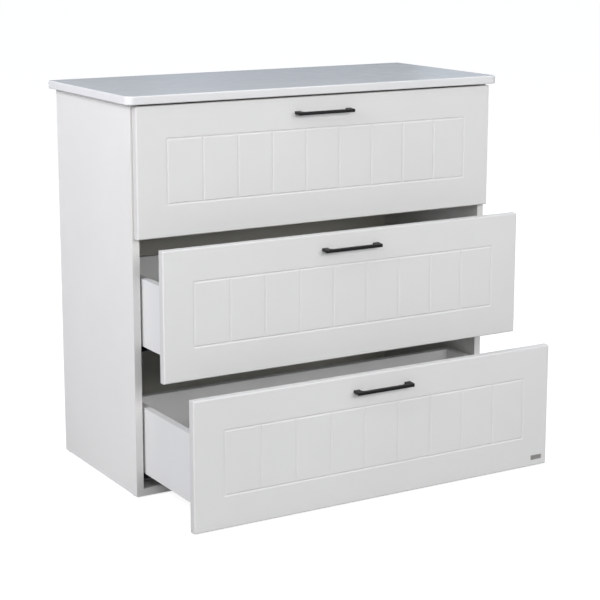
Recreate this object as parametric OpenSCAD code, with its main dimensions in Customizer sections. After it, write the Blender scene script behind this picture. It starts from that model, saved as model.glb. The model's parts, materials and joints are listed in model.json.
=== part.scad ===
// Chest of three drawers with routed fronts, bar handles and full-extension undermount runners.
// Millimetres. X is the width, seen from the front; -Y is the front; +Z is up.
// The origin is on the floor, at the centre of the carcass footprint.

/* [Carcass] */
// Width over the two side panels
body_w = 900; // [700:10:1200]
// Depth from the front edges of the sides to the back face
body_d = 389; // [385:1:560]
// Height of the side panels
side_h = 840; // [810:10:960]
// Thickness of the side, bottom and drawer box panels
panel_t = 16; // [15:1:18]
// Thickness of the hardboard back
back_t = 3; // [2.5:0.5:5]
// Height of the nail-in floor glides
glide_h = 3; // [2:0.5:8]

/* [Top] */
// Thickness of the top
top_t = 18; // [16:1:28]
// How far the top passes each side panel
top_side_over = 17; // [0:1:30]
// How far the top passes the front edges of the sides
top_front_over = 24.5; // [20:0.5:40]
// Radius of the two front corners of the top
top_corner_r = 18; // [5:1:40]

/* [Drawer fronts] */
// Thickness of each front
front_t = 18; // [16:1:22]
// Gap above each front
front_gap = 4; // [3:1:10]
// How far each side panel shows beside the fronts
front_side_reveal = 4; // [0:1:8]
// Radius of the rounded edges of each front
front_edge_r = 3; // [2:0.5:8]
// Distance from the edges of a front to its routed frame line
frame_inset = 70; // [50:5:90]
// Number of planks inside the routed frame
planks = 9; // [3:1:15]
// Width of the routed grooves
groove_w = 6; // [3:0.5:8]
// Depth of the routed grooves
groove_depth = 1.25; // [1:0.25:2.5]

/* [Drawer boxes] */
// Height of the box sides
box_side_h = 145; // [110:5:160]
// Height of the box above the lower edge of its front
box_lift = 49; // [45:1:60]
// Length of the box behind its front
box_len = 340; // [330:5:350]
// Gap between the box and the side panels
box_clear = 5; // [5:0.5:6]
// Thickness of the box bottom
box_bottom_t = 3; // [3:0.5:4]
// Height of the box bottom above the lower edges of the box sides
box_recess = 13; // [13:0.5:15]

/* [Handles] */
// Distance between the two handle screws
handle_pitch = 128; // [96:32:192]
// How far the handle stands out from its front
handle_reach = 20; // [18:1:40]
// Length of each handle foot along the handle
handle_foot = 14; // [12:1:24]
// Height of the handle seen from the front
handle_h = 6.5; // [6:0.5:12]
// Depth of the handle bar from front to back
handle_bar = 7.5; // [6:0.5:10]
// Distance from the upper edge of a front down to the middle of its handle
handle_drop = 33; // [20:0.5:45]
// How far the bar hangs lower than the ends of the feet on the front
handle_sag = 1.5; // [0:0.5:2]

/* [Positions] */
// How far the lower drawer is pulled out
lower_open = 242; // [0:1:330]
// How far the middle drawer is pulled out
middle_open = 114; // [0:1:330]
// How far the upper drawer is pulled out
upper_open = 0; // [0:1:330]

/* [Hidden] */
$fn = 48;

tiers = ["lower", "middle", "upper"];
sides = ["left", "right"];
open_by = [lower_open, middle_open, upper_open];

front_y = -body_d / 2;
back_y = body_d / 2;
inner_x = body_w / 2 - panel_t;
panel_depth = body_d - back_t;
top_z = glide_h + side_h;

// Drawer fronts
bumper_gap = 1;
front_w = body_w - 2 * front_side_reveal;
front_h = side_h / len(tiers) - front_gap;
frame_w = front_w - 2 * frame_inset;
frame_h = front_h - 2 * frame_inset;
plank_w = frame_w / planks;
// A round-nosed cutter whose radius gives the groove its width at its depth
cutter_r = (groove_w * groove_w / 4 + groove_depth * groove_depth) / (2 * groove_depth);

// Drawer boxes
box_x = inner_x - box_clear;
box_inner_x = box_x - panel_t;
bottom_groove = 7;
front_groove = 5;

// Runners: u is the distance inward from the side panel, w the height above the box's lower edge
steel_t = 1.5;
rail_len = 350;
rail_setback = 3;
rail_low = -14;
rail_wall_h = 26;
rail_inner_u = 24;
rail_outer_u = 44;
rail_channel_h = 10;
middle_len = 340;
middle_setback = 5;
middle_u = 27;
middle_w = 14;
middle_low = -11.5;
middle_h = 20.5;
drawer_rail_len = 338;
drawer_rail_u = 23.5;
drawer_rail_w = 21;
drawer_rail_low = -2;
clip_w = 30;
clip_len = 46;
clip_h = 10;

// Fasteners
cam_d = 15;
cam_depth = 12.5;
cam_reach = 34;
thread_d = 5;
thread_len = 11;
stem_d = 6;
stem_hole_d = 8;
dowel_d = 8;
dowel_len = 30;
dowel_in = 10;
dowel_spacing = 32;
joint_inset = 60;
rail_screw_first = 37;
rail_screw_step = 128;
rail_screw_count = 3;
rail_screw_w = -6;
nail_d = 2;
nail_len = 20;
nail_head_d = 6;
nail_head_t = 0.8;
nail_step = 130;
glide_d = 15;
glide_inset = 20;
glide_pin_d = 2.5;
glide_pin_len = 11;
handle_screw_d = 4;
handle_screw_grip = 7;
handle_screw_hole_d = 5;
box_screw_d = 4;
box_screw_len = 40;
box_screw_head_d = 8;
box_screw_head_h = 3;

// Label plate
label_w = 28;
label_h = 10;
label_t = 1.2;
label_side_inset = 15;
label_low_inset = 15;

// Colours
white_foil = [0.88, 0.88, 0.87];
white_board = [0.86, 0.87, 0.88];
top_white = [0.80, 0.83, 0.86];
box_white = [0.84, 0.86, 0.88];
back_grey = [0.74, 0.73, 0.70];
steel_grey = [0.48, 0.49, 0.50];
matt_black = [0.06, 0.06, 0.06];
zinc_grey = [0.62, 0.62, 0.60];
beech = [0.80, 0.66, 0.46];
glide_white = [0.90, 0.90, 0.90];
clip_grey = [0.45, 0.46, 0.47];
label_grey = [0.50, 0.46, 0.42];

function front_z(tier) = glide_h + tier * (front_h + front_gap);
function box_z(tier) = front_z(tier) + box_lift;

// ---- Placing ----

// Draws its children on the left, or mirrored on the right
module on_side(side) {
    if (side == "left") children();
    else mirror([1, 0, 0]) children();
}

module on_both_sides() {
    for (side = sides) on_side(side) children();
}

// Drawer frame: y = 0 is the back face of the front, z = 0 its lower edge
module in_drawer(tier) {
    translate([0, front_y - bumper_gap - open_by[tier], front_z(tier)]) children();
}

// Runner frame on the left side panel: x = u, y = 0 is the carcass front, z = w
module in_runner(tier, travel) {
    translate([-inner_x, front_y - travel, box_z(tier)]) children();
}

// Extrudes a section drawn in x and z along +Y
module along_y(length) {
    rotate([90, 0, 0]) translate([0, 0, -length]) linear_extrude(length) children();
}

// The joint rows of the carcass, near its front and its back
module joint_rows() {
    for (y = [front_y + joint_inset, back_y - joint_inset]) translate([0, y, 0]) children();
}

// Joints between the sides and the top: thread up, stem down
module top_joints() {
    on_both_sides() joint_rows() translate([-inner_x - panel_t / 2, 0, top_z]) children();
}

// Joints between the sides and the bottom: thread outward, stem inward
module bottom_joints() {
    on_both_sides() joint_rows()
        translate([-inner_x, 0, glide_h + panel_t / 2]) mirror([1, 0, 0]) rotate([0, 90, 0]) children();
}

// Joints between the box sides and the front, in the drawer frame
module front_joints() {
    on_both_sides()
        translate([-box_x + panel_t / 2, 0, box_lift + box_side_h / 2]) rotate([90, 0, 0]) children();
}

module rail_screw_places(tier) {
    for (i = [0 : rail_screw_count - 1])
        in_runner(tier, 0)
            translate([steel_t, rail_screw_first + i * rail_screw_step, rail_screw_w])
                rotate([0, -90, 0]) children();
}

module glide_places() {
    on_both_sides() for (y = [front_y + glide_inset, back_y - glide_inset])
        translate([-inner_x - panel_t / 2, y, 0]) children();
    children();
}

// Nails along the rear edges of the sides and the bottom, heads flush with the back
module nail_places() {
    rows = floor(side_h / nail_step) - 1;
    columns = floor(body_w / nail_step) - 2;
    on_both_sides() for (i = [0 : rows])
        translate([-inner_x - panel_t / 2, back_y, glide_h + nail_step / 2 + i * nail_step])
            rotate([90, 0, 0]) children();
    for (i = [0 : columns])
        translate([(i - columns / 2) * nail_step, back_y, glide_h + panel_t / 2])
            rotate([90, 0, 0]) children();
}

module handle_screw_places() {
    for (x = [-handle_pitch / 2, handle_pitch / 2])
        translate([x, 0, front_h - handle_drop]) rotate([90, 0, 0]) children();
}

// Screws through the left box side into the end of the box back
module box_screw_places() {
    for (z = [0.35, 0.8])
        translate([-box_x, box_len - panel_t / 2, box_lift + z * box_side_h]) rotate([0, 90, 0]) children();
}

// ---- Fasteners ----

// Cam with a screwdriver cross in its face, which is at x = panel_t / 2 of the joint
module cam_body() {
    slot_len = 10;
    slot_w = 1.6;
    slot_depth = 1;
    difference() {
        translate([panel_t / 2 - cam_depth, 0, -cam_reach]) rotate([0, 90, 0]) cylinder(h = cam_depth, d = cam_d);
        translate([panel_t / 2, 0, -cam_reach]) {
            cube([2 * slot_depth, slot_len, slot_w], center = true);
            cube([2 * slot_depth, slot_w, slot_len], center = true);
        }
    }
}

// Cam lock, with the channel that takes the head of its bolt
module cam_lock() {
    difference() {
        cam_body();
        translate([0, 0, -cam_reach]) cylinder(h = cam_d, d = stem_hole_d);
    }
}

module cam_pocket() {
    translate([panel_t / 2 - cam_depth, 0, -cam_reach]) rotate([0, 90, 0]) cylinder(h = cam_depth + 1, d = cam_d);
}

// Cam bolt: thread above z = 0, stem and head below it
module cam_bolt() {
    cylinder(h = thread_len, d = thread_d);
    translate([0, 0, -cam_reach + 2]) cylinder(h = cam_reach - 2, d = stem_d);
    translate([0, 0, -cam_reach + 1]) cylinder(h = 2.5, d = stem_d + 1);
}

module thread_hole() {
    cylinder(h = thread_len, d = thread_d);
}

module stem_hole() {
    translate([0, 0, -cam_reach]) cylinder(h = cam_reach + 1, d = stem_hole_d);
}

module dowel_pair() {
    translate([0, dowel_spacing, dowel_in - dowel_len]) cylinder(h = dowel_len, d = dowel_d);
}

module rail_screw() {
    cylinder(h = steel_t + thread_len, d = thread_d);
    translate([0, 0, -2]) cylinder(h = 2, d1 = 7.5, d2 = 9);
}

module nail() {
    cylinder(h = nail_len, d = nail_d);
    cylinder(h = nail_head_t, d = nail_head_d);
}

module glide() {
    cylinder(h = glide_h / 2, d1 = glide_d - glide_h, d2 = glide_d);
    translate([0, 0, glide_h / 2]) cylinder(h = glide_h / 2, d = glide_d);
    cylinder(h = glide_h + glide_pin_len, d = glide_pin_d);
}

module glide_hole() {
    cylinder(h = glide_h + glide_pin_len, d = glide_pin_d);
}

// Handle screw: head on the back face of the front, thread forward
module handle_screw() {
    cylinder(h = front_t + handle_screw_grip, d = handle_screw_d);
    translate([0, 0, -2.4]) difference() {
        cylinder(h = 2.4, d = 8.5);
        translate([-3, -0.6, -1]) cube([6, 1.2, 2]);
        translate([-0.6, -3, -1]) cube([1.2, 6, 2]);
    }
}

// Countersunk screw: head flush with z = 0
module box_screw() {
    cylinder(h = box_screw_head_h, d1 = box_screw_head_d, d2 = box_screw_d);
    cylinder(h = box_screw_len, d = box_screw_d);
}

// ---- Carcass ----

module top_panel() {
    w = body_w + 2 * top_side_over;
    d = body_d + top_front_over;
    r = top_corner_r;
    color(top_white) difference() {
        translate([0, 0, top_z]) linear_extrude(top_t) union() {
            translate([-w / 2, back_y - d + r]) square([w, d - r]);
            translate([-w / 2 + r, back_y - d]) square([w - 2 * r, r + 1]);
            for (x = [-w / 2 + r, w / 2 - r]) translate([x, back_y - d + r]) circle(r);
        }
        top_joints() thread_hole();
        top_joints() dowel_pair();
    }
}

module side_panel(side) {
    color(white_board) difference() {
        on_side(side) translate([-body_w / 2, front_y, glide_h]) cube([panel_t, panel_depth, side_h]);
        top_joints() stem_hole();
        top_joints() cam_pocket();
        top_joints() dowel_pair();
        bottom_joints() thread_hole();
        bottom_joints() dowel_pair();
        on_side(side) for (tier = [0 : len(tiers) - 1]) rail_screw_places(tier) thread_run();
        nail_places() nail();
        glide_places() glide_hole();
    }
}

// The hole that a rail screw makes, from the rail into the panel
module thread_run() {
    cylinder(h = steel_t + thread_len, d = thread_d);
}

module bottom_panel() {
    color(white_board) difference() {
        translate([-inner_x, front_y, glide_h]) cube([2 * inner_x, panel_depth, panel_t]);
        bottom_joints() stem_hole();
        bottom_joints() cam_pocket();
        bottom_joints() dowel_pair();
        nail_places() nail();
        glide_hole();
    }
}

module back_panel() {
    edge = 2;
    color(back_grey) difference() {
        translate([-body_w / 2 + edge, back_y - back_t, glide_h + edge])
            cube([body_w - 2 * edge, back_t, side_h - edge]);
        nail_places() nail();
    }
}

module back_panel_nails() {
    color(zinc_grey) nail_places() nail();
}

module floor_glides() {
    color(glide_white) glide_places() glide();
}

module cam_locks() {
    color(zinc_grey) {
        top_joints() cam_lock();
        bottom_joints() cam_lock();
    }
}

module cam_bolts() {
    color(zinc_grey) {
        top_joints() cam_bolt();
        bottom_joints() cam_bolt();
    }
}

module dowels() {
    color(beech) {
        top_joints() dowel_pair();
        bottom_joints() dowel_pair();
    }
}

// ---- Runners ----

module cabinet_rail(tier, side) {
    color(steel_grey) difference() {
        on_side(side) in_runner(tier, 0) translate([0, rail_setback, 0]) along_y(rail_len) {
            translate([0, rail_low]) square([steel_t, rail_wall_h]);
            translate([0, rail_low]) square([rail_outer_u, steel_t]);
            translate([rail_inner_u, rail_low]) square([steel_t, rail_channel_h]);
            translate([rail_outer_u - steel_t, rail_low]) square([steel_t, rail_channel_h]);
        }
        on_side(side) rail_screw_places(tier) thread_run();
    }
}

module rail_screws() {
    color(zinc_grey) on_both_sides() for (tier = [0 : len(tiers) - 1]) rail_screw_places(tier) rail_screw();
}

// The middle member: a hollow section with a slot along its lower face
module middle_rail(tier, side) {
    slot = middle_w - 4 * steel_t;
    color(steel_grey) on_side(side) in_runner(tier, open_by[tier] / 2)
        translate([0, middle_setback, 0]) along_y(middle_len) difference() {
            translate([middle_u, middle_low]) square([middle_w, middle_h]);
            translate([middle_u + steel_t, middle_low + steel_t])
                square([middle_w - 2 * steel_t, middle_h - 2 * steel_t]);
            translate([middle_u + (middle_w - slot) / 2, middle_low - 1]) square([slot, steel_t + 2]);
        }
}

// The drawer member: an inverted channel under the box bottom
module drawer_rail(tier, side) {
    color(steel_grey) on_side(side) in_runner(tier, open_by[tier]) along_y(drawer_rail_len) difference() {
        translate([drawer_rail_u, drawer_rail_low]) square([drawer_rail_w, box_recess - drawer_rail_low]);
        translate([drawer_rail_u + steel_t, drawer_rail_low - 1])
            square([drawer_rail_w - 2 * steel_t, box_recess - drawer_rail_low - steel_t + 1]);
    }
}

// Locking clips that hold the front ends of the drawer rails to the box
module rail_clips(tier) {
    lever_w = 12;
    lever_h = 4;
    color(clip_grey) on_both_sides()
        in_drawer(tier) translate([-inner_x + drawer_rail_u + drawer_rail_w, 0, box_lift + box_recess - clip_h]) {
            cube([clip_w, clip_len, clip_h]);
            translate([clip_w / 2 - lever_w / 2, 6, -lever_h]) cube([lever_w, clip_len - 16, lever_h + 1]);
        }
}

// ---- Drawers ----

// A rectangle with its two corners at -y rounded
module rounded_edge_section(w, t, r) {
    translate([-w / 2, -t + r]) square([w, t - r]);
    translate([-w / 2 + r, -t]) square([w - 2 * r, r + 0.5]);
    for (x = [-w / 2 + r, w / 2 - r]) translate([x, -t + r]) circle(r);
}

// The board of a front: its back face at y = 0, its lower edge at z = 0
module front_board() {
    intersection() {
        linear_extrude(front_h) rounded_edge_section(front_w, front_t, front_edge_r);
        translate([-front_w / 2 - 1, 0, front_h / 2]) rotate([90, 0, 90])
            linear_extrude(front_w + 2) rotate(-90) rounded_edge_section(front_h, front_t, front_edge_r);
    }
}

// Routed frame line and the lines between the planks
module routed_lines() {
    y = -front_t - (cutter_r - groove_depth);
    translate([0, y, front_h / 2]) {
        for (z = [-frame_h / 2, frame_h / 2])
            translate([-frame_w / 2, 0, z]) rotate([0, 90, 0]) cylinder(h = frame_w, r = cutter_r);
        for (i = [0 : planks])
            translate([-frame_w / 2 + i * plank_w, 0, -frame_h / 2]) cylinder(h = frame_h, r = cutter_r);
        for (x = [-frame_w / 2, frame_w / 2], z = [-frame_h / 2, frame_h / 2])
            translate([x, 0, z]) sphere(cutter_r);
    }
}

module drawer_front(tier) {
    in_drawer(tier) color(white_foil) difference() {
        front_board();
        routed_lines();
        handle_screw_places() translate([0, 0, -1]) cylinder(h = front_t + 2, d = handle_screw_hole_d);
        front_joints() thread_hole();
        box_bottom_board();
    }
}

// The box bottom, let into the front and the sides
module box_bottom_board() {
    half = box_inner_x + bottom_groove;
    translate([-half, -front_groove, box_lift + box_recess])
        cube([2 * half, box_len + front_groove, box_bottom_t]);
}

module box_bottom(tier) {
    in_drawer(tier) color(box_white) box_bottom_board();
}

module box_side(tier, side) {
    in_drawer(tier) color(box_white) on_side(side) difference() {
        translate([-box_x, 0, box_lift]) cube([panel_t, box_len, box_side_h]);
        box_bottom_board();
        front_joints() stem_hole();
        front_joints() cam_pocket();
        box_screw_places() box_screw();
    }
}

module box_back(tier) {
    low = box_recess + box_bottom_t;
    in_drawer(tier) color(box_white) difference() {
        translate([-box_inner_x, box_len - panel_t, box_lift + low])
            cube([2 * box_inner_x, panel_t, box_side_h - low]);
        on_both_sides() box_screw_places() box_screw();
    }
}

module box_screws(tier) {
    in_drawer(tier) color(zinc_grey) on_both_sides() box_screw_places() box_screw();
}

// Cam fittings between the front and the box sides, each cam one solid with its bolt
module front_fittings(tier) {
    in_drawer(tier) color(zinc_grey) front_joints() {
        cam_body();
        cylinder(h = thread_len, d = thread_d);
        translate([0, 0, -cam_reach]) cylinder(h = cam_reach, d = stem_d);
    }
}

// Outline of the handle seen from above: a bar on two feet, with rounded corners
module handle_outline() {
    half = handle_pitch / 2 + handle_foot / 2;
    span = half - handle_foot;
    outer_r = 3;
    inner_r = 7;
    difference() {
        union() {
            translate([-half, -handle_reach + outer_r]) square([2 * half, handle_reach - outer_r]);
            translate([-half + outer_r, -handle_reach]) square([2 * (half - outer_r), outer_r + 1]);
            for (x = [-half + outer_r, half - outer_r]) translate([x, -handle_reach + outer_r]) circle(outer_r);
        }
        translate([-span + inner_r, -handle_reach + handle_bar]) square([2 * (span - inner_r), handle_reach]);
        translate([-span, -handle_reach + handle_bar + inner_r]) square([2 * span, handle_reach]);
        for (x = [-span + inner_r, span - inner_r])
            translate([x, -handle_reach + handle_bar + inner_r]) circle(inner_r);
    }
}

// Side view of the handle, which leans down from the front to its bar
module handle_profile() {
    lean = handle_sag / handle_reach;
    end = -handle_reach - 1;
    polygon([
        [1, lean + handle_h / 2],
        [1, lean - handle_h / 2],
        [end, end * lean - handle_h / 2],
        [end, end * lean + handle_h / 2]
    ]);
}

module handle(tier) {
    length = handle_pitch + handle_foot + 2;
    in_drawer(tier) color(matt_black) translate([0, -front_t, front_h - handle_drop]) difference() {
        intersection() {
            translate([0, 0, -handle_h]) linear_extrude(2 * handle_h) handle_outline();
            translate([-length / 2, 0, 0]) rotate([90, 0, 90]) linear_extrude(length) handle_profile();
        }
        for (x = [-handle_pitch / 2, handle_pitch / 2])
            translate([x, 1, 0]) rotate([90, 0, 0]) cylinder(h = handle_screw_grip + 1, d = handle_screw_d);
    }
}

module handle_screws(tier) {
    in_drawer(tier) color(zinc_grey) handle_screw_places() handle_screw();
}

// A blank plate near the lower right corner of the lower front
module label_plate() {
    in_drawer(0) color(label_grey)
        translate([front_w / 2 - label_side_inset - label_w, -front_t - label_t, label_low_inset])
            cube([label_w, label_t, label_h]);
}

// ---- Drawing ----

top_panel();
bottom_panel();
back_panel();
back_panel_nails();
floor_glides();
cam_locks();
cam_bolts();
dowels();
rail_screws();
label_plate();

for (s = sides)
    side_panel(s);

for (i = [0 : len(tiers) - 1], s = sides) {
    prefix = str(tiers[i], "_", s, "_");
    cabinet_rail(i, s);
    middle_rail(i, s);
    drawer_rail(i, s);
    box_side(i, s);
}

for (i = [0 : len(tiers) - 1]) {
    prefix = str(tiers[i], "_");
    drawer_front(i);
    box_back(i);
    box_bottom(i);
    box_screws(i);
    handle(i);
    handle_screws(i);
    rail_clips(i);
    front_fittings(i);
}
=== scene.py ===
"""Looks for the chest of drawers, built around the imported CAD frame."""

import json
import math

import bmesh
import bpy
from mathutils import Matrix, Vector


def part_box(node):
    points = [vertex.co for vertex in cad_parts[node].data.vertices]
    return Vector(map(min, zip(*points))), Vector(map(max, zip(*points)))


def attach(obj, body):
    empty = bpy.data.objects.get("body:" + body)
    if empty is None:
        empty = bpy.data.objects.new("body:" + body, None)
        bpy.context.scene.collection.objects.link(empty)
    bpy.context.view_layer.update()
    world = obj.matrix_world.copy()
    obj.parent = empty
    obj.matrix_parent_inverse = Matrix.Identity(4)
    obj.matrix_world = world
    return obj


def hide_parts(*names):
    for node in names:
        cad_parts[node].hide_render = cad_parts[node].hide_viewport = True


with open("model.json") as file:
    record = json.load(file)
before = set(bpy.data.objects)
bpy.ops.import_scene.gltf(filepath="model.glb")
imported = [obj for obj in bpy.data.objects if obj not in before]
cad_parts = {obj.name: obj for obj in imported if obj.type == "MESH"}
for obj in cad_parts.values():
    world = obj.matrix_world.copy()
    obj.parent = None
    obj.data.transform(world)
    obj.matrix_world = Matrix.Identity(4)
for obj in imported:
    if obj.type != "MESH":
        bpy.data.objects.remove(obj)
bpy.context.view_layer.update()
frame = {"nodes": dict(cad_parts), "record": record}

TIERS = ("lower", "middle", "upper")
MM = 0.001

# ---------------------------------------------------------------- shader nodes


def new_material(name, **surface):
    """A node material, with constant values set on the shader's own sockets."""
    material = bpy.data.materials.new(name)
    material.use_nodes = True
    shader = material.node_tree.nodes["Principled BSDF"]
    for key, value in surface.items():
        shader.inputs[key.replace("_", " ")].default_value = value
    return material


def add_node(material, kind, values=None, **settings):
    """A shader node with its settings, and its sockets linked or set to the values."""
    node = material.node_tree.nodes.new(kind)
    for key, value in settings.items():
        setattr(node, key, value)
    for key, value in (values or {}).items():
        socket = node.inputs[key]
        if isinstance(value, bpy.types.NodeSocket):
            material.node_tree.links.new(value, socket)
        else:
            socket.default_value = value
    return node


def connect(material, output, surface_input):
    shader = material.node_tree.nodes["Principled BSDF"]
    material.node_tree.links.new(output, shader.inputs[surface_input])


def place(material, stretch=(1, 1, 1)):
    """Object coordinates, which are metres in the row frame, stretched for a grain."""
    coordinates = add_node(material, "ShaderNodeTexCoord")
    mapping = add_node(material, "ShaderNodeMapping",
                       {"Vector": coordinates.outputs["Object"], "Scale": stretch})
    return mapping.outputs["Vector"]


def noise(material, scale, detail=3.0, roughness=0.5, stretch=(1, 1, 1)):
    """Cloudy noise, its scale in features per metre."""
    node = add_node(material, "ShaderNodeTexNoise",
                    {"Vector": place(material, stretch), "Scale": scale, "Detail": detail,
                     "Roughness": roughness})
    return node.outputs["Fac"]


def cells(material, scale):
    """A random value in each of many small cells."""
    node = add_node(material, "ShaderNodeTexVoronoi", {"Vector": place(material), "Scale": scale})
    return add_node(material, "ShaderNodeSeparateColor", {"Color": node.outputs["Color"]}).outputs[0]


def remap(material, value, low, high, from_low=0.3, from_high=0.7):
    """The value spread over low to high; noise lies mostly between 0.3 and 0.7."""
    node = add_node(material, "ShaderNodeMapRange",
                    {"Value": value, "From Min": from_low, "From Max": from_high,
                     "To Min": low, "To Max": high})
    return node.outputs["Result"]


def mix(material, factor, first, second):
    """A colour between two colours, each a socket or an (r, g, b) tuple."""
    node = add_node(material, "ShaderNodeMix", data_type="RGBA")
    links = material.node_tree.links
    for index, value in ((0, factor), (6, first), (7, second)):
        if isinstance(value, bpy.types.NodeSocket):
            links.new(value, node.inputs[index])
        elif index == 0:
            node.inputs[index].default_value = value
        else:
            node.inputs[index].default_value = (*value, 1)
    return node.outputs[2]


def bump(material, height, distance, below=None):
    """A surface normal from a height, laid over another normal if one is given."""
    values = {"Height": height, "Distance": distance, "Strength": 1.0}
    if below is not None:
        values["Normal"] = below
    return add_node(material, "ShaderNodeBump", values).outputs["Normal"]


def attribute(material, name):
    return add_node(material, "ShaderNodeAttribute", attribute_name=name).outputs["Fac"]


# ------------------------------------------------------------------- materials


def coated_board(name, colour, tint, roughness, peel=0.006, wave=0.12, specks=0.12, sheen=0.5):
    """White foil or melamine on board: faint clouding, orange peel and slow waviness."""
    material = new_material(name, Specular_IOR_Level=sheen)
    clouds = remap(material, noise(material, 3.5, 4, 0.6), 0, 1)
    dots = remap(material, noise(material, 420, 2), 0, specks, 0.5, 0.8)
    base = mix(material, clouds, colour, tint)
    base = mix(material, dots, base, tuple(c * 0.9 for c in tint))
    connect(material, base, "Base Color")
    low, high = roughness
    connect(material, remap(material, noise(material, 26, 4, 0.6), low, high), "Roughness")
    slow = bump(material, noise(material, 9, 2), wave * MM)
    fine = bump(material, noise(material, 700, 2), peel * MM, slow)
    connect(material, fine, "Normal")
    return material


def edge_wear_and_painted_light(material, strength, colour, patches=(0.3, 1.0)):
    """Lightens or darkens a material along the edges that a mesh marks with its edge attribute: a
    painted highlight on the top, painted shade on the fronts, and rubbed, worn edges on the handles.
    """
    tree = material.node_tree
    shader = tree.nodes["Principled BSDF"]
    base = shader.inputs["Base Color"].links[0].from_socket
    edge_patches = remap(material, noise(material, 60, 3), *patches)
    share = add_node(material, "ShaderNodeMath", {0: attribute(material, "edge"), 1: edge_patches},
                     operation="MULTIPLY").outputs[0]
    share = add_node(material, "ShaderNodeMath", {0: share, 1: strength},
                     operation="MULTIPLY").outputs[0]
    connect(material, mix(material, share, base, colour), "Base Color")
    return material


def rolled_steel(name, colour, roughness, spangle=220.0):
    """Zinc-coated steel: spangled grains and drawing lines along the rail."""
    material = new_material(name, Metallic=1.0)
    grains = cells(material, spangle)
    lines = noise(material, 700, 2, stretch=(1, 0.03, 1))
    dark = tuple(c * 0.72 for c in colour)
    connect(material, mix(material, grains, dark, colour), "Base Color")
    low, high = roughness
    connect(material, remap(material, lines, low, high), "Roughness")
    connect(material, bump(material, lines, 0.01 * MM), "Normal")
    return material


def powder_black(name):
    """Matt black powder coat on a cast handle, rubbed a little along its edges."""
    material = new_material(name, Specular_IOR_Level=0.3)
    mottle = remap(material, noise(material, 240, 3), 0, 1)
    connect(material, mix(material, mottle, (0.004, 0.004, 0.004), (0.008, 0.008, 0.008)), "Base Color")
    connect(material, remap(material, noise(material, 90, 3), 0.38, 0.55), "Roughness")
    connect(material, bump(material, noise(material, 2600, 2), 0.03 * MM), "Normal")
    return edge_wear_and_painted_light(material, 0.2, (0.05, 0.05, 0.05))


def moulded_plastic(name, colour, roughness=(0.42, 0.56)):
    material = new_material(name, Subsurface_Weight=0.05, Subsurface_Radius=(0.002, 0.002, 0.002))
    shade = remap(material, noise(material, 70, 3), 0, 1)
    connect(material, mix(material, shade, colour, tuple(c * 0.9 for c in colour)), "Base Color")
    connect(material, remap(material, noise(material, 160, 3), *roughness), "Roughness")
    connect(material, bump(material, noise(material, 1500, 2), 0.02 * MM), "Normal")
    return material


def fibre_board(name, face, fibre, reverse=None):
    """Hardboard: matted fibres, and on a board lacquered on one side a white face at the front."""
    material = new_material(name)
    matted = noise(material, 320, 5, 0.75, stretch=(0.25, 1, 1))
    flecks = remap(material, matted, 0, 1, 0.38, 0.66)
    base = mix(material, flecks, face, fibre)
    if reverse is not None:
        normal = add_node(material, "ShaderNodeNewGeometry").outputs["Normal"]
        facing = add_node(material, "ShaderNodeSeparateXYZ", {"Vector": normal}).outputs["Y"]
        front = add_node(material, "ShaderNodeMath", {0: facing, 1: -0.5},
                         operation="LESS_THAN").outputs[0]
        base = mix(material, front, base, reverse)
    connect(material, base, "Base Color")
    connect(material, remap(material, matted, 0.55, 0.8), "Roughness")
    connect(material, bump(material, matted, 0.05 * MM), "Normal")
    return material


def turned_beech(name):
    material = new_material(name)
    grain = noise(material, 900, 3, stretch=(1, 1, 0.08))
    flecks = remap(material, grain, 0, 1)
    connect(material, mix(material, flecks, (0.60, 0.42, 0.24), (0.48, 0.31, 0.16)), "Base Color")
    connect(material, remap(material, grain, 0.5, 0.7), "Roughness")
    connect(material, bump(material, grain, 0.05 * MM), "Normal")
    return material


def brushed_plate(name):
    material = new_material(name, Metallic=0.6)
    lines = noise(material, 2200, 3, stretch=(0.02, 1, 1))
    shade = remap(material, lines, 0, 1)
    connect(material, mix(material, shade, (0.34, 0.32, 0.30), (0.46, 0.44, 0.42)), "Base Color")
    connect(material, remap(material, lines, 0.32, 0.5), "Roughness")
    connect(material, bump(material, lines, 0.01 * MM), "Normal")
    return material


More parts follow.
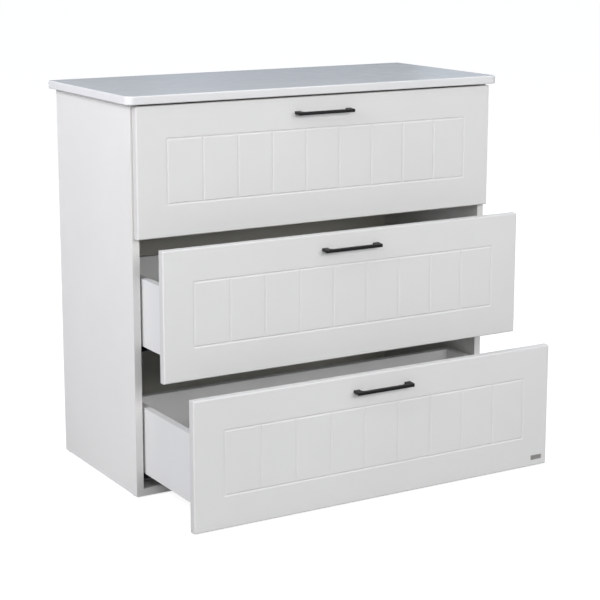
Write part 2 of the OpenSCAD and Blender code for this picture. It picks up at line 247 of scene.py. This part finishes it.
def make_materials():
    """One material for each of the record's material slots."""
    return {
        # The top's rounded edges are made lighter than its face: a painted highlight.
        "top_laminate": edge_wear_and_painted_light(
            coated_board("top_laminate", (0.80, 0.80, 0.80), (0.77, 0.77, 0.775), (0.10, 0.15),
                         peel=0.0, wave=0.2, specks=0.0), 0.25, (0.86, 0.86, 0.86)),
        "white_board": coated_board("white_board", (0.80, 0.795, 0.775), (0.77, 0.762, 0.742),
                                    (0.34, 0.5)),
        # The fronts' rounded edges are darkened: painted shade that holds down the light those roundings
        # catch.
        "front_foil": edge_wear_and_painted_light(
            coated_board("front_foil", (0.76, 0.758, 0.748), (0.74, 0.736, 0.725), (0.40, 0.52),
                         sheen=0.25),
            1.0, (0.635, 0.63, 0.617), (0.85, 1.0)),
        "box_board": coated_board("box_board", (0.73, 0.733, 0.725), (0.70, 0.703, 0.695),
                                  (0.4, 0.52)),
        "box_hardboard": fibre_board("box_hardboard", (0.76, 0.765, 0.755), (0.73, 0.735, 0.725)),
        "hardboard": fibre_board("hardboard", (0.42, 0.30, 0.19), (0.33, 0.22, 0.13),
                                 (0.72, 0.71, 0.65)),
        "beech": turned_beech("beech"),
        "galvanised_steel": rolled_steel("galvanised_steel", (0.56, 0.57, 0.59), (0.28, 0.42)),
        "zinc_fasteners": rolled_steel("zinc_fasteners", (0.66, 0.66, 0.62), (0.24, 0.36), 900),
        "cam_zinc": rolled_steel("cam_zinc", (0.55, 0.55, 0.53), (0.36, 0.5), 700),
        "handle_black": powder_black("handle_black"),
        "clip_plastic": moulded_plastic("clip_plastic", (0.12, 0.125, 0.13)),
        "glide_plastic": moulded_plastic("glide_plastic", (0.80, 0.80, 0.78)),
        "label_metal": brushed_plate("label_metal"),
    }


# ---------------------------------------------------------------------- meshes


def new_piece(name, mesh_builder, slot, body, *replaced):
    mesh = bpy.data.meshes.new(name)
    bmesh.ops.recalc_face_normals(mesh_builder, faces=mesh_builder.faces)
    mesh_builder.to_mesh(mesh)
    mesh_builder.free()
    for polygon in mesh.polygons:
        polygon.use_smooth = True
    piece = bpy.data.objects.new(name, mesh)
    bpy.context.scene.collection.objects.link(piece)
    piece.data.materials.append(MATERIALS[slot])
    weighted = piece.modifiers.new("weighted normals", "WEIGHTED_NORMAL")
    weighted.keep_sharp = True
    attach(piece, body)
    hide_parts(*replaced)


def offset_outline(outline, distance):
    """The closed outline moved inwards; it runs anticlockwise."""
    moved = []
    count = len(outline)
    for index, point in enumerate(outline):
        before = (point - outline[index - 1]).normalized()
        after = (outline[(index + 1) % count] - point).normalized()
        inward = Vector((-(before.y + after.y), before.x + after.x))
        share = inward.length_squared / 2
        moved.append(point + inward * (distance / share))
    return moved


def arc(centre, radius, start, end, steps):
    """Points on an arc, from start to end degrees."""
    angles = [math.radians(start + (end - start) * i / steps) for i in range(steps + 1)]
    return [Vector((centre[0] + radius * math.cos(a), centre[1] + radius * math.sin(a))) for a in angles]


def bevelled_prism(outline, low, high, radius, steps):
    """An upright prism on an outline, with its upper and lower edges rounded and marked as edge."""
    builder = bmesh.new()
    edge = builder.verts.layers.float.new("edge")
    rings = []
    for i in range(steps + 1):
        angle = math.pi / 2 * i / steps
        rise = radius * (1 - math.cos(angle))
        rings.append((radius * (1 - math.sin(angle)), low + rise, math.sin(2 * angle)))
    for i in range(steps + 1):
        angle = math.pi / 2 * (1 - i / steps)
        rise = radius * (1 - math.cos(angle))
        rings.append((radius * (1 - math.sin(angle)), high - rise, math.sin(2 * angle)))
    layers = []
    # The edge share of each ring: the top's material turns it into a painted highlight, the handles'
    # into rubbed, worn edges.
    for inset, z, wear_and_highlight in rings:
        layer = [builder.verts.new((p.x, p.y, z)) for p in offset_outline(outline, inset)]
        for vertex in layer:
            vertex[edge] = wear_and_highlight
        layers.append(layer)
    count = len(outline)
    for lower, upper in zip(layers, layers[1:]):
        for i in range(count):
            j = (i + 1) % count
            builder.faces.new((lower[i], lower[j], upper[j], upper[i]))
    builder.faces.new(list(reversed(layers[0])))
    builder.faces.new(layers[-1])
    return builder


def spread(points, step):
    """The sorted points, with more between them where they lie further apart than step."""
    points = sorted(set(round(p, 7) for p in points))
    filled = []
    for a, b in zip(points, points[1:]):
        parts = max(1, math.ceil((b - a) / step))
        filled += [a + (b - a) * i / parts for i in range(parts)]
    return filled + [points[-1]]


# ---------------------------------------------------------------- the top panel


TOP_CORNER = 18 * MM
TOP_BACK_CORNER = 2 * MM
TOP_CORNER_STEPS = 14
TOP_EDGE = 2.5 * MM
TOP_EDGE_STEPS = 5


def make_top():
    """The top: rounded front corners, small rounds along its edges."""
    low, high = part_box("top_panel")
    outline = []
    for x, y, radius, start in ((high.x, low.y, TOP_CORNER, -90), (high.x, high.y, TOP_BACK_CORNER, 0),
                                (low.x, high.y, TOP_BACK_CORNER, 90), (low.x, low.y, TOP_CORNER, 180)):
        centre = (x - math.copysign(radius, x), y + radius if y == low.y else y - radius)
        outline += arc(centre, radius, start, start + 90, TOP_CORNER_STEPS)
    builder = bevelled_prism(outline, low.z, high.z, TOP_EDGE, TOP_EDGE_STEPS)
    new_piece("top", builder, "top_laminate", "carcass", "top_panel")


# -------------------------------------------------------------- drawer fronts

FRAME_INSET = 70 * MM
PLANKS = 9
GROOVE_HALF = 3.4 * MM
GROOVE_DEPTH = 1.25 * MM
GROOVE_STEPS = 6
FRONT_ROUND = 3.0 * MM
ROUND_STEPS = 7
BACK_ROUND = 0.6 * MM
GRID_STEP = 30 * MM


def groove_depth(distance):
    """A groove whose sides run softly into the face, as foil bridges a routed line."""
    if distance >= GROOVE_HALF:
        return 0.0
    return GROOVE_DEPTH * 0.5 * (1 + math.cos(math.pi * distance / GROOVE_HALF))


def segment_distance(x, z, start, end):
    """Distance in the plane of the front from (x, z) to a straight segment."""
    along = end - start
    share = max(0.0, min(1.0, (Vector((x, z)) - start).dot(along) / along.length_squared))
    return (Vector((x, z)) - start - along * share).length


def routed_lines(centre_x, half_w, low_z, high_z):
    """The frame line and the lines between the planks, as segments."""
    left, right = centre_x - half_w, centre_x + half_w
    lines = [(Vector((left, z)), Vector((right, z))) for z in (low_z, high_z)]
    for i in range(PLANKS + 1):
        x = left + (right - left) * i / PLANKS
        lines.append((Vector((x, low_z)), Vector((x, high_z))))
    return lines


def round_profile(low, high):
    """Positions across a front's two rounded edges, and how far its face falls back there."""
    edge = []
    for i in range(ROUND_STEPS + 1):
        angle = math.pi / 2 * (1 - i / ROUND_STEPS)
        edge.append((low + FRONT_ROUND * (1 - math.sin(angle)), FRONT_ROUND * (1 - math.cos(angle))))
    other = [(low + high - p, fall) for p, fall in reversed(edge)]
    return edge, other


def grid_positions(start, end, groove_places):
    """Where a front's grid lines lie: close together on its rounded edges and its grooves."""
    near, far = round_profile(start, end)
    inner = [near[-1][0], far[0][0]]
    for groove in groove_places:
        for i in range(-GROOVE_STEPS, GROOVE_STEPS + 1):
            inner.append(groove + GROOVE_HALF * i / GROOVE_STEPS)
    return near[:-1] + [(p, 0.0) for p in spread(inner, GRID_STEP)] + far[1:]


def make_front(tier):
    """A routed front: a grid that is fine at the rounded edges and the grooves, and a plain back."""
    node = f"{tier}_front"
    low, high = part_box(node)
    centre_x = (low.x + high.x) / 2
    half_w = (high.x - low.x) / 2 - FRAME_INSET
    lines = routed_lines(centre_x, half_w, low.z + FRAME_INSET, high.z - FRAME_INSET)
    plank_edges = [centre_x - half_w + 2 * half_w * i / PLANKS for i in range(PLANKS + 1)]
    xs = grid_positions(low.x, high.x, plank_edges)
    zs = grid_positions(low.z, high.z, [low.z + FRAME_INSET, high.z - FRAME_INSET])
    builder = bmesh.new()
    edge = builder.verts.layers.float.new("edge")
    grid = []
    for z, fall_z in zs:
        row = []
        for x, fall_x in xs:
            fall = max(fall_x, fall_z)
            depth = max(groove_depth(segment_distance(x, z, a, b)) for a, b in lines)
            vertex = builder.verts.new((x, low.y + fall + depth, z))
            # The share of the rounded edge, which darkens the foil there as painted shade.
            vertex[edge] = min(1.0, fall / FRONT_ROUND)
            row.append(vertex)
        grid.append(row)
    for lower, upper in zip(grid, grid[1:]):
        for i in range(len(xs) - 1):
            builder.faces.new((lower[i], lower[i + 1], upper[i + 1], upper[i]))
    rim = grid[0] + [row[-1] for row in grid[1:-1]] + grid[-1][::-1] + [row[0] for row in grid[-2:0:-1]]
    for inset, y in ((0.0, high.y - BACK_ROUND), (BACK_ROUND, high.y)):
        ring = []
        for vertex in rim:
            x = min(max(vertex.co.x, low.x + inset), high.x - inset)
            z = min(max(vertex.co.z, low.z + inset), high.z - inset)
            ring.append(builder.verts.new((x, y, z)))
            ring[-1][edge] = 1.0
        for i in range(len(ring)):
            j = (i + 1) % len(ring)
            builder.faces.new((rim[i], rim[j], ring[j], ring[i]))
        rim = ring
    builder.faces.new(rim)
    new_piece(f"{tier}_routed_front", builder, "front_foil", f"{tier}_drawer", node)


# -------------------------------------------------------------------- handles


HANDLE_FOOT = 14 * MM
HANDLE_BAR = 7.5 * MM
HANDLE_HEIGHT = 6.5 * MM
HANDLE_CORNER = 3 * MM
HANDLE_CORNER_STEPS = 6
HANDLE_FILLET = 7 * MM
HANDLE_FILLET_STEPS = 8
HANDLE_BEVEL = 0.8 * MM
HANDLE_BEVEL_STEPS = 3


def make_handle(tier):
    """A bar on two feet, its corners rounded, which leans down a little from the front."""
    node = f"{tier}_handle"
    low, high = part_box(node)
    wall, tip = high.y, low.y
    left, right = low.x, high.x
    corner_y = tip + HANDLE_CORNER
    fillet_y = tip + HANDLE_BAR + HANDLE_FILLET
    fillet_left = left + HANDLE_FOOT + HANDLE_FILLET
    fillet_right = right - HANDLE_FOOT - HANDLE_FILLET
    outline = [Vector((left, wall))]
    outline += arc((left + HANDLE_CORNER, corner_y), HANDLE_CORNER, 180, 270, HANDLE_CORNER_STEPS)
    outline += arc((right - HANDLE_CORNER, corner_y), HANDLE_CORNER, 270, 360, HANDLE_CORNER_STEPS)
    outline += [Vector((right, wall)), Vector((right - HANDLE_FOOT, wall))]
    outline += arc((fillet_right, fillet_y), HANDLE_FILLET, 0, -90, HANDLE_FILLET_STEPS)
    outline += arc((fillet_left, fillet_y), HANDLE_FILLET, -90, -180, HANDLE_FILLET_STEPS)
    outline += [Vector((left + HANDLE_FOOT, wall))]
    builder = bevelled_prism(outline, high.z - HANDLE_HEIGHT, high.z, HANDLE_BEVEL, HANDLE_BEVEL_STEPS)
    lean = (high.z - low.z - HANDLE_HEIGHT) / (wall - tip)
    for vertex in builder.verts:
        vertex.co.z -= lean * (wall - vertex.co.y)
    new_piece(f"{tier}_bar_handle", builder, "handle_black", f"{tier}_drawer", node)


# ------------------------------------------------- CAD nodes that keep their shape


def soften(node, slot, width):
    """Gives a CAD node its material, and rounds its edges with modifiers."""
    piece = frame["nodes"][node]
    piece.data.materials.clear()
    piece.data.materials.append(MATERIALS[slot])
    for polygon in piece.data.polygons:
        polygon.use_smooth = True
    weld = piece.modifiers.new("weld", "WELD")
    weld.merge_threshold = 0.01 * MM
    if width:
        bevel = piece.modifiers.new("edges", "BEVEL")
        bevel.width = width
        bevel.segments = 2
        bevel.limit_method = "ANGLE"
        bevel.angle_limit = math.radians(50)
        bevel.use_clamp_overlap = True
        bevel.harden_normals = True
    weighted = piece.modifiers.new("weighted normals", "WEIGHTED_NORMAL")
    weighted.keep_sharp = True


EDGE_ROUNDS = {
    "white_board": 0.5 * MM,
    "box_board": 1.0 * MM,
    "box_hardboard": 0.0,
    "hardboard": 0.0,
    "galvanised_steel": 0.3 * MM,
    "zinc_fasteners": 0.0,
    "cam_zinc": 0.0,
    "beech": 0.0,
    "clip_plastic": 0.6 * MM,
    "glide_plastic": 0.0,
    "label_metal": 0.3 * MM,
}


def dress_cad_nodes(replaced):
    slots = {part["node"]: part["material_slot"] for part in frame["record"]["subparts"]}
    for node, slot in slots.items():
        if node not in replaced:
            soften(node, slot, EDGE_ROUNDS[slot])


# --------------------------------------------------------- studio and camera


CAMERA_POSITION = (-1.8902, -3.3067, 1.2157)
CAMERA_ANGLES = (30.64, -11.255, 0.04)
CAMERA_LENS = 100.8
CAMERA_SHIFT = -0.08


def make_camera():
    """The photograph's view: from the left of the front, a little above the top."""
    yaw, pitch, roll = (math.radians(a) for a in CAMERA_ANGLES)
    ahead = math.cos(pitch)
    forward = Vector((math.sin(yaw) * ahead, math.cos(yaw) * ahead, math.sin(pitch)))
    level = Vector((math.cos(yaw), -math.sin(yaw), 0))
    upright = level.cross(forward)
    right = level * math.cos(roll) + upright * math.sin(roll)
    up = -level * math.sin(roll) + upright * math.cos(roll)
    data = bpy.data.cameras.new("camera")
    data.lens = CAMERA_LENS
    data.sensor_width = 36.0
    data.shift_y = CAMERA_SHIFT
    data.clip_end = 200.0
    camera = bpy.data.objects.new("camera", data)
    turned = Matrix((right, up, -forward)).transposed().to_4x4()
    camera.matrix_world = Matrix.Translation(CAMERA_POSITION) @ turned
    bpy.context.scene.collection.objects.link(camera)
    bpy.context.scene.camera = camera


FLOOR_RADIUS = 60.0
FLOOR_GREY = 0.36
FLOOR_GLOW = 0.86


def make_floor():
    """A wide pale floor: the camera sees it near white, with the soft shadow of the chest on it."""
    builder = bmesh.new()
    bmesh.ops.create_circle(builder, cap_ends=True, segments=96, radius=FLOOR_RADIUS)
    mesh = bpy.data.meshes.new("floor")
    builder.to_mesh(mesh)
    builder.free()
    floor = bpy.data.objects.new("floor", mesh)
    bpy.context.scene.collection.objects.link(floor)
    material = new_material("floor", Base_Color=(FLOOR_GREY, FLOOR_GREY, FLOOR_GREY, 1), Roughness=0.9,
                            Specular_IOR_Level=0.0, Emission_Color=(1, 1, 1, 1))
    seen = add_node(material, "ShaderNodeLightPath").outputs["Is Camera Ray"]
    glow = add_node(material, "ShaderNodeMath", {0: seen, 1: FLOOR_GLOW},
                    operation="MULTIPLY").outputs[0]
    connect(material, glow, "Emission Strength")
    floor.data.materials.append(material)


# Brightness of the room across the direction X, where the glossy top mirrors it
WINDOW_BANDS = ((0.0, 0.95), (0.42, 0.92), (0.44, 1.12), (0.46, 1.1), (0.48, 1.0), (0.53, 1.0),
                (0.545, 0.84), (0.562, 0.84), (0.572, 1.35), (0.75, 1.35), (0.9, 1.0))
ROOM_BACK = (0.31, 0.35, 0.40, 1)
ROOM_FRONT = (0.55, 0.55, 0.55, 1)
ROOM_FRONT_AT = 0.9
ROOM_TOWARDS_FRONT = (-0.75, -0.60, 0.20)
ROOM_STRENGTH = 0.95


def make_world():
    """A pale room, bright at the front left, bluer behind; plain white to the camera."""
    world = bpy.data.worlds.new("studio")
    bpy.context.scene.world = world
    world.use_nodes = True
    tree = world.node_tree
    tree.nodes.clear()
    link = tree.links.new
    direction = tree.nodes.new("ShaderNodeTexCoord").outputs["Generated"]
    facing = tree.nodes.new("ShaderNodeVectorMath")
    facing.operation = "DOT_PRODUCT"
    link(direction, facing.inputs[0])
    facing.inputs[1].default_value = Vector(ROOM_TOWARDS_FRONT).normalized()
    ramp = tree.nodes.new("ShaderNodeValToRGB")
    link(facing.outputs["Value"], ramp.inputs["Fac"])
    stops = ramp.color_ramp.elements
    stops[0].position, stops[0].color = 0.0, ROOM_BACK
    stops[1].position, stops[1].color = ROOM_FRONT_AT, ROOM_FRONT
    split = tree.nodes.new("ShaderNodeSeparateXYZ")
    link(direction, split.inputs[0])
    windows = tree.nodes.new("ShaderNodeValToRGB")
    link(split.outputs["X"], windows.inputs["Fac"])
    panes = windows.color_ramp.elements
    for index, (position, level) in enumerate(WINDOW_BANDS):
        pane = panes[index] if index < 2 else panes.new(position)
        pane.position, pane.color = position, (level, level, level, 1)
    lit = tree.nodes.new("ShaderNodeVectorMath")
    lit.operation = "MULTIPLY"
    link(ramp.outputs["Color"], lit.inputs[0])
    link(windows.outputs["Color"], lit.inputs[1])
    room = tree.nodes.new("ShaderNodeBackground")
    link(lit.outputs["Vector"], room.inputs["Color"])
    room.inputs["Strength"].default_value = ROOM_STRENGTH
    white = tree.nodes.new("ShaderNodeBackground")
    white.inputs["Color"].default_value = (1, 1, 1, 1)
    chosen = tree.nodes.new("ShaderNodeMixShader")
    link(tree.nodes.new("ShaderNodeLightPath").outputs["Is Camera Ray"], chosen.inputs[0])
    link(room.outputs[0], chosen.inputs[1])
    link(white.outputs[0], chosen.inputs[2])
    output = tree.nodes.new("ShaderNodeOutputWorld")
    link(chosen.outputs[0], output.inputs["Surface"])


def soft_light(name, position, target, size, power, colour):
    """A rectangular area light that faces its target."""
    data = bpy.data.lights.new(name, "AREA")
    data.shape = "RECTANGLE"
    data.size, data.size_y = size
    data.energy = power
    data.color = colour
    light = bpy.data.objects.new(name, data)
    light.location = position
    aim = Vector(target) - Vector(position)
    light.rotation_mode = "QUATERNION"
    light.rotation_quaternion = aim.to_track_quat("-Z", "Y")
    bpy.context.scene.collection.objects.link(light)


# Each light: name, position, target, size, power, colour
LIGHTS = (
    ("window_left", (-2.6, -0.5, 1.95), (-0.45, 0.1, 0.8), (1.5, 1.3), 58, (0.965, 0.955, 1.0)),
    ("front_fill", (0.9, -3.9, 1.9), (0.1, -0.2, 0.7), (3.0, 1.3), 72, (1.0, 0.99, 0.975)),
    ("front_left", (-1.7, -3.4, 1.9), (-0.2, 0.0, 0.25), (1.3, 1.2), 16, (0.985, 1.0, 0.985)),
    ("overhead", (0.1, -1.1, 3.0), (0.1, -0.3, 0.5), (2.4, 1.4), 4, (1.0, 1.0, 0.99)),
    ("back_right", (2.9, 2.5, 2.4), (0.2, 0, 0.5), (2.0, 1.4), 30, (1, 1, 1)),
)


# ----------------------------------------------------------------- the build

bpy.context.scene.view_settings.view_transform = "Standard"
make_camera()
make_world()
for light_settings in LIGHTS:
    soft_light(*light_settings)
make_floor()

MATERIALS = make_materials()
make_top()
for tier_name in TIERS:
    make_front(tier_name)
    make_handle(tier_name)
REPLACED = {"top_panel"} | {f"{t}_{part}" for t in TIERS for part in ("front", "handle")}
dress_cad_nodes(REPLACED)
